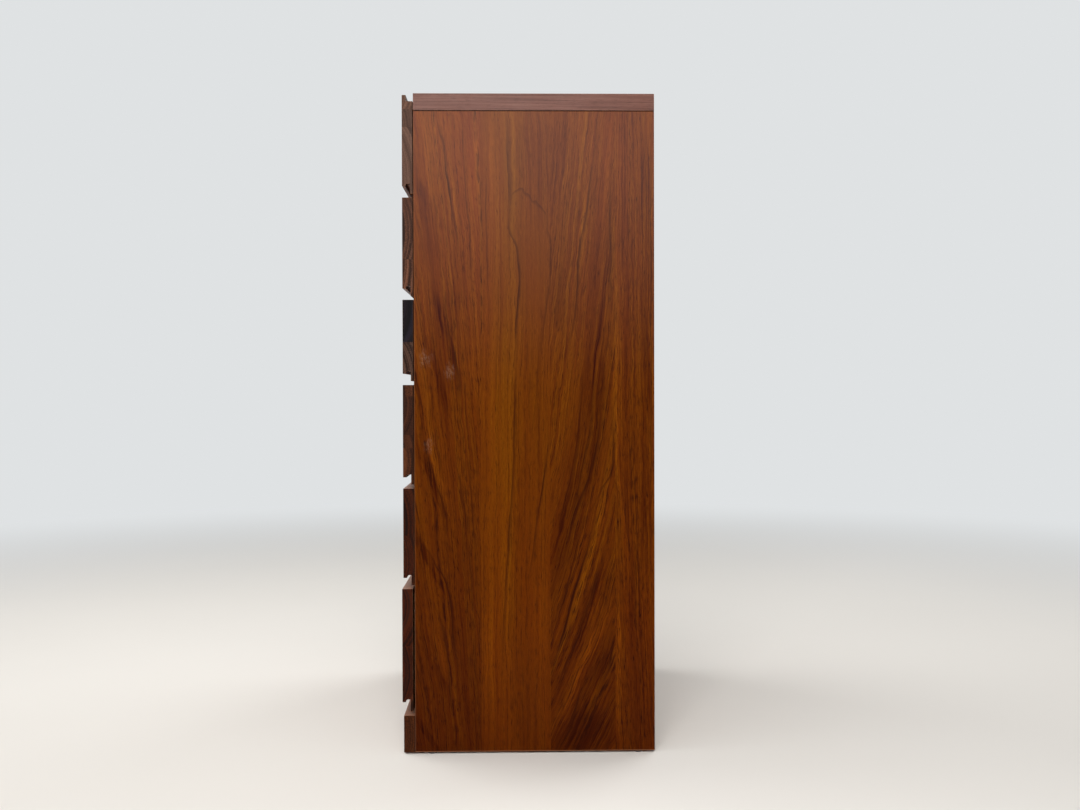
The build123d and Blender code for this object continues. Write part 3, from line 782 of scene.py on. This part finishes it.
# plain woods out of sight: carcase boards, drawer boxes and plywood
boxWood = {
    "ply": 0.0, "spacing": 7.5, "lines": 0.32, "pores": 0.22, "rough": 0.55, "dark": (150, 112, 74),
    "palette": [(0.25, (186, 152, 110)), (0.55, (206, 175, 132)), (0.80, (220, 193, 152))],
}
boardLooks = {
    "carcaseBoard": {
        "along": "x", "thin": "z", "ply": 0.0, "spacing": 9.0, "seed": 12.0, "lines": 0.30, "pores": 0.30,
        "rough": 0.52, "palette": [(0.25, (140, 100, 66)), (0.55, (166, 126, 86)), (0.80, (184, 146, 104))],
        "dark": (98, 64, 38),
        "lipping": [(0.25, (78, 44, 26)), (0.55, (104, 62, 38)), (0.80, (124, 78, 50))]},
    "backPlywood": {
        "along": "z", "thin": "y", "ply": 1.25, "spacing": 15.0, "seed": 25.0, "lines": 0.34, "pores": 0.35,
        "rough": 0.56, "palette": [(0.20, (122, 82, 51)), (0.55, (140, 97, 62)), (0.85, (154, 110, 73))],
        "dark": (84, 53, 32)},
    "boxSide": dict(boxWood, along="y", thin="x", seed=33.0),
    "boxBack": dict(boxWood, along="x", thin="y", seed=47.0),
    "boxPlywood": {
        "along": "x", "thin": "z", "ply": 1.25, "spacing": 46.0, "seed": 58.0, "lines": 0.24, "pores": 0.25,
        "rough": 0.58, "palette": [(0.25, (190, 158, 116)), (0.55, (208, 178, 136)), (0.80, (220, 194, 154))],
        "dark": (158, 120, 82)},
}


def paler(stops, step):  # the palest colour of a palette, a step paler
    return tuple(min(255, value + step) for value in stops[-1][1])


def makeBoard(name, look):
    material, tree, shader = newMaterial(name)
    place, facing = objectPlace(tree)
    grain, flat = ("xyz".index(look[key]) for key in ("along", "thin"))
    along, deep, across = place[grain], place[flat], place[3 - grain - flat]
    bend = (noiseAt(vector(across * 0.008, along * 0.0035, deep * 0.01)) - 0.5) * 60.0
    radius = calc("SQRT", (across + 35.0) ** 2.0 + 3600.0)
    flow = radius + bend + deep * 0.9
    rings = useGroup(tree, growthRings, flow=flow, spacing=look["spacing"], seed=look["seed"])
    fibres = useGroup(tree, woodFibres, across=across, deep=deep, along=along, seed=look["seed"])
    colour = toneRamp((fibres["streak"] - 0.5) * 0.7 + rings["tone"], look["palette"])
    colour = toward(colour, rings["lines"] * look["lines"], look["dark"])
    colour = toward(colour, fibres["pores"] * look["pores"], look["dark"])
    if look["ply"]:  # glued layers show on the cut edges
        layer = calc("PINGPONG", deep, look["ply"])
        stripe = ease(layer, look["ply"] * 0.35, look["ply"] * 0.65)
        colour = toward(colour, stripe * (1.0 - faces(facing[flat])) * 0.55, look["dark"])
    else:  # end grain drinks more of the finish
        colour = shade(colour, faces(facing[grain]) * -0.22 + 1.0)
    if "lipping" in look:  # walnut strips cover the edges that look forward
        colour = mixColour(facing[1] < -0.6, colour, toneRamp(fibres["streak"], look["lipping"]))
    colour = wearEdges(colour, (0.0012, 0.35, paler(look["palette"], 18)))
    rough = fibres["pores"] * 0.1 + look["rough"] + smears(tree, 0.16, look["seed"])
    height = fibres["pores"] * -0.6 + fibres["streak"] * 0.4
    finishShader(shader, colour, rough, height, 0.00016, 0.4, 0.25)
    return material


woods = {name: makeBoard(name, look) for name, look in boardLooks.items()}
dress(woods["carcaseBoard"], "bottom_panel", "plinth_rear", "front_rails")
dress(woods["backPlywood"], "back_panel")
for number in drawerNumbers:
    dress(woods["boxSide"], "drawer_%d_side_left" % number, "drawer_%d_side_right" % number)
    dress(woods["boxBack"], "drawer_%d_back" % number)
    dress(woods["boxPlywood"], "drawer_%d_bottom" % number)
print("carcase boards and drawer boxes finished")


# metal and plastic: slides, screws, bumpers, glides
metalLooks = {
    "zincSlide": {"colours": [(0.25, (168, 170, 172)), (0.75, (205, 206, 206))], "rough": 0.30,
                  "grime": (116, 112, 104)},
    "platedScrew": {"colours": [(0.25, (176, 172, 160)), (0.75, (214, 210, 198))], "rough": 0.28,
                    "grime": (104, 96, 84)},
}


def makeMetal(name, look):
    material, tree, shader = newMaterial(name)
    (x, y, z), facing = objectPlace(tree)
    streak = noiseAt(vector(x * 1.6, y * 0.03, z * 1.6), 3.0, 0.6)
    spangle = noiseAt(vector(x * 0.35, y * 0.22, z * 0.35))
    colour = toneRamp(mixValue(0.45, streak, spangle), look["colours"])
    smear = smears(tree, 0.35, 3.0)
    colour = toward(colour, ease(smear, 0.03, 0.16, 0.0, 0.45), look["grime"])
    colour = wearEdges(colour, (0.0008, 0.5, (226, 226, 224)))
    finishShader(shader, colour, streak * 0.16 + look["rough"] + smear, streak, 0.00008, 0.3)
    shader["Metallic"].default_value = 1.0
    return material


plasticLooks = {
    "bumperPlastic": {"colours": [(0.3, (88, 72, 60)), (0.7, (112, 94, 80))], "rough": 0.6, "grain": 900.0},
    "glidePlastic": {"colours": [(0.3, (38, 36, 35)), (0.7, (58, 55, 53))], "rough": 0.45, "grain": 700.0},
}


def makePlastic(name, look):
    material, tree, shader = newMaterial(name)
    speck = noiseAt(addField(tree, "TexCoord", output="Object"), 2.0, 0.5, look["grain"])
    smear = smears(tree, 0.5, 7.0)
    colour = toneRamp(speck * 0.6 + (smear + 0.2), look["colours"])
    colour = wearEdges(colour, (0.0006, 0.3, paler(look["colours"], 30)))
    finishShader(shader, colour, smear * 0.3 + look["rough"], speck, 0.00005, 0.3)
    return material


metals = {name: makeMetal(name, look) for name, look in metalLooks.items()}
plastics = {name: makePlastic(name, look) for name, look in plasticLooks.items()}
dress(metals["zincSlide"], "slide_cabinet_rails")
dress(metals["platedScrew"], "carcase_screws")
for number in drawerNumbers:
    dress(metals["zincSlide"], "drawer_%d_slide_rails" % number, "slide_%d_middle_rails" % number)
    dress(metals["platedScrew"], "drawer_%d_screws" % number)
dress(plastics["bumperPlastic"], "bumpers")
dress(plastics["glidePlastic"], "glides")
print("slides, screws and small plastic parts finished")


# release levers: one in each drawer rail, seen when the drawer is out (metres)
leverLook = {
    "levels": {1: 1.065, 2: 0.883, 3: 0.731, 4: 0.546, 5: 0.366, 6: 0.143},
    "shifts": {6: -0.0025},  # the lowest drawer stands a little proud
    "web": 0.2665, "thick": 0.0021, "front": -0.086, "back": -0.016, "tall": 0.0090,
    "cuts": (-0.074, -0.066, -0.046, -0.036, -0.026),  # where the strip is cut across
    "crank": 0.0034, "tail": 0.55, "tab": (0.0018, -0.0050, 0.0), "tabTaper": 0.8,
    "rim": 0.0012, "boss": 0.0013, "bossTaper": 0.8, "round": 0.0005, "crease": 35.0,
    "slack": 0.001,  # how near a place counts as there
}


def select(piece):
    bpy.ops.object.select_all(action="DESELECT")
    piece.select_set(True)
    bpy.context.view_layer.objects.active = piece


def editMesh(piece):
    select(piece)
    bpy.ops.object.mode_set(mode="EDIT")
    bpy.ops.mesh.select_mode(type="VERT")


def choose(piece, vertexTest=None, faceTest=None):  # selects by place or by face direction, in edit mode
    bpy.ops.mesh.select_all(action="DESELECT")
    bpy.ops.object.mode_set(mode="OBJECT")
    for vertex in piece.data.vertices:
        vertex.select = bool(vertexTest and vertexTest(vertex.co))
    for face in piece.data.polygons:
        face.select = bool(faceTest and faceTest(face.center, face.normal))
    bpy.ops.object.mode_set(mode="EDIT")
    bpy.ops.mesh.select_mode(type="FACE" if faceTest else "VERT")


def makeLever(look):
    cuts, slack = look["cuts"], look["slack"]
    length = look["back"] - look["front"]
    centre = (look["web"] + look["thick"] / 2.0, look["front"] + length / 2.0, 0.0)
    bpy.ops.object.select_all(action="DESELECT")
    bpy.ops.mesh.primitive_cube_add(size=1.0, location=centre)
    lever = bpy.context.object
    bpy.ops.transform.resize(value=(look["thick"], length, look["tall"]))
    bpy.ops.object.transform_apply(location=True, rotation=False, scale=True)
    editMesh(lever)
    for cut in cuts:
        bpy.ops.mesh.select_all(action="SELECT")
        bpy.ops.mesh.bisect(plane_co=(0.0, cut, 0.0), plane_no=(0.0, 1.0, 0.0))
    # the thumb end is cranked down, the tail tapers, a round boss carries the pivot
    choose(lever, vertexTest=lambda place: place.y < cuts[1] - slack)
    bpy.ops.transform.translate(value=(0.0, 0.0, -look["crank"]))
    choose(lever, vertexTest=lambda place: place.y > look["back"] - slack)
    bpy.ops.transform.resize(value=(1.0, 1.0, look["tail"]), center_override=(look["web"], look["back"], 0.0))
    choose(lever, faceTest=lambda centre, normal: normal.y < -0.9 and centre.y < look["front"] + slack)
    bpy.ops.mesh.extrude_region_move(TRANSFORM_OT_translate={"value": look["tab"]})
    bpy.ops.transform.resize(value=(1.0, 1.0, look["tabTaper"]))
    choose(lever, faceTest=lambda centre, normal: normal.x > 0.9 and cuts[2] < centre.y < cuts[3])
    bpy.ops.mesh.inset(thickness=look["rim"])
    bpy.ops.mesh.extrude_region_move(TRANSFORM_OT_translate={"value": (look["boss"], 0.0, 0.0)})
    bpy.ops.transform.resize(value=(1.0, look["bossTaper"], look["bossTaper"]))
    bpy.ops.object.mode_set(mode="OBJECT")
    soften = lever.modifiers.new("soften", "BEVEL")
    soften.width = look["round"]
    soften.segments = 2
    bpy.ops.object.modifier_apply(modifier="soften")
    bpy.ops.object.shade_smooth_by_angle(angle=math.radians(look["crease"]))
    return lever


def placeLevers(look, material):
    pattern = makeLever(look)
    pattern.data.materials.append(material)
    for number, level in look["levels"].items():
        for hand, side in ((1.0, "right"), (-1.0, "left")):
            select(pattern)
            bpy.ops.object.duplicate(linked=False)
            piece = bpy.context.object
            piece.name = "releaseLever%d%s" % (number, side)
            if hand < 0.0:
                bpy.ops.transform.resize(value=(-1.0, 1.0, 1.0), center_override=(0.0, 0.0, 0.0))
            bpy.ops.transform.translate(value=(0.0, look["shifts"].get(number, 0.0), level))
            bpy.ops.object.transform_apply(location=True, rotation=False, scale=True)
            editMesh(piece)
            bpy.ops.mesh.select_all(action="SELECT")
            bpy.ops.mesh.normals_make_consistent(inside=False)
            bpy.ops.object.mode_set(mode="OBJECT")
            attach(piece, "drawer_%d" % number)
    bpy.data.objects.remove(pattern, do_unlink=True)


placeLevers(leverLook, plastics["glidePlastic"])
print("release levers fitted:", 2 * len(leverLook["levels"]))


# floor and background: from near to far (metres) the floor runs into the pale background
floorLook = {
    "size": 40.0, "colour": (226, 222, 216), "rough": 0.75, "gloss": 0.2,
    "sky": (0.74, 0.76, 0.77, 1.0), "ambient": 0.26, "near": 1.3, "far": 4.2,
}


def seenBackground(tree):  # 1 for rays that show the background itself, straight on or in gloss and glass
    paths = addNode(tree, "LightPath").outputs
    glossy, through = Field(paths["Is Glossy Ray"]), Field(paths["Is Transmission Ray"])
    return calc("MAXIMUM", Field(paths["Is Camera Ray"]), calc("MAXIMUM", glossy, through))


def layFloor(look):
    bpy.ops.mesh.primitive_plane_add(size=look["size"])
    floor = bpy.context.object
    floor.name = "studioFloor"
    material, tree, shader = newMaterial("paleFloor")
    source = addField(tree, "TexCoord", output="Object")
    cloud = noiseAt(source, 3.0, 0.5, 1.3)
    plug(shade(linear(look["colour"])[:3], cloud * 0.05 + 0.975), shader["Base Color"])
    shader["Roughness"].default_value = look["rough"]
    shader["Specular IOR Level"].default_value = look["gloss"]
    reach = addField(tree, "VectorMath", {0: source}, "Value", operation="LENGTH")
    away = seenBackground(tree) * ease(reach, look["near"], look["far"])
    glow = addField(tree, "Emission", {"Color": look["sky"], "Strength": 1.0})
    plain = Field(tree.nodes["Principled BSDF"].outputs[0])
    join = addField(tree, "MixShader", {0: away, 1: plain, 2: glow})
    plug(join, tree.nodes["Material Output"].inputs["Surface"])
    floor.data.materials.append(material)


def setWorld(look):
    world = bpy.data.worlds.new("studioWorld")
    bpy.context.scene.world = world
    world.use_nodes = True
    sky = world.node_tree.nodes["Background"].inputs
    sky["Color"].default_value = look["sky"]
    plug(mixValue(seenBackground(world.node_tree), look["ambient"], 1.0), sky["Strength"])


layFloor(floorLook)
setWorld(floorLook)
print("floor and background set")
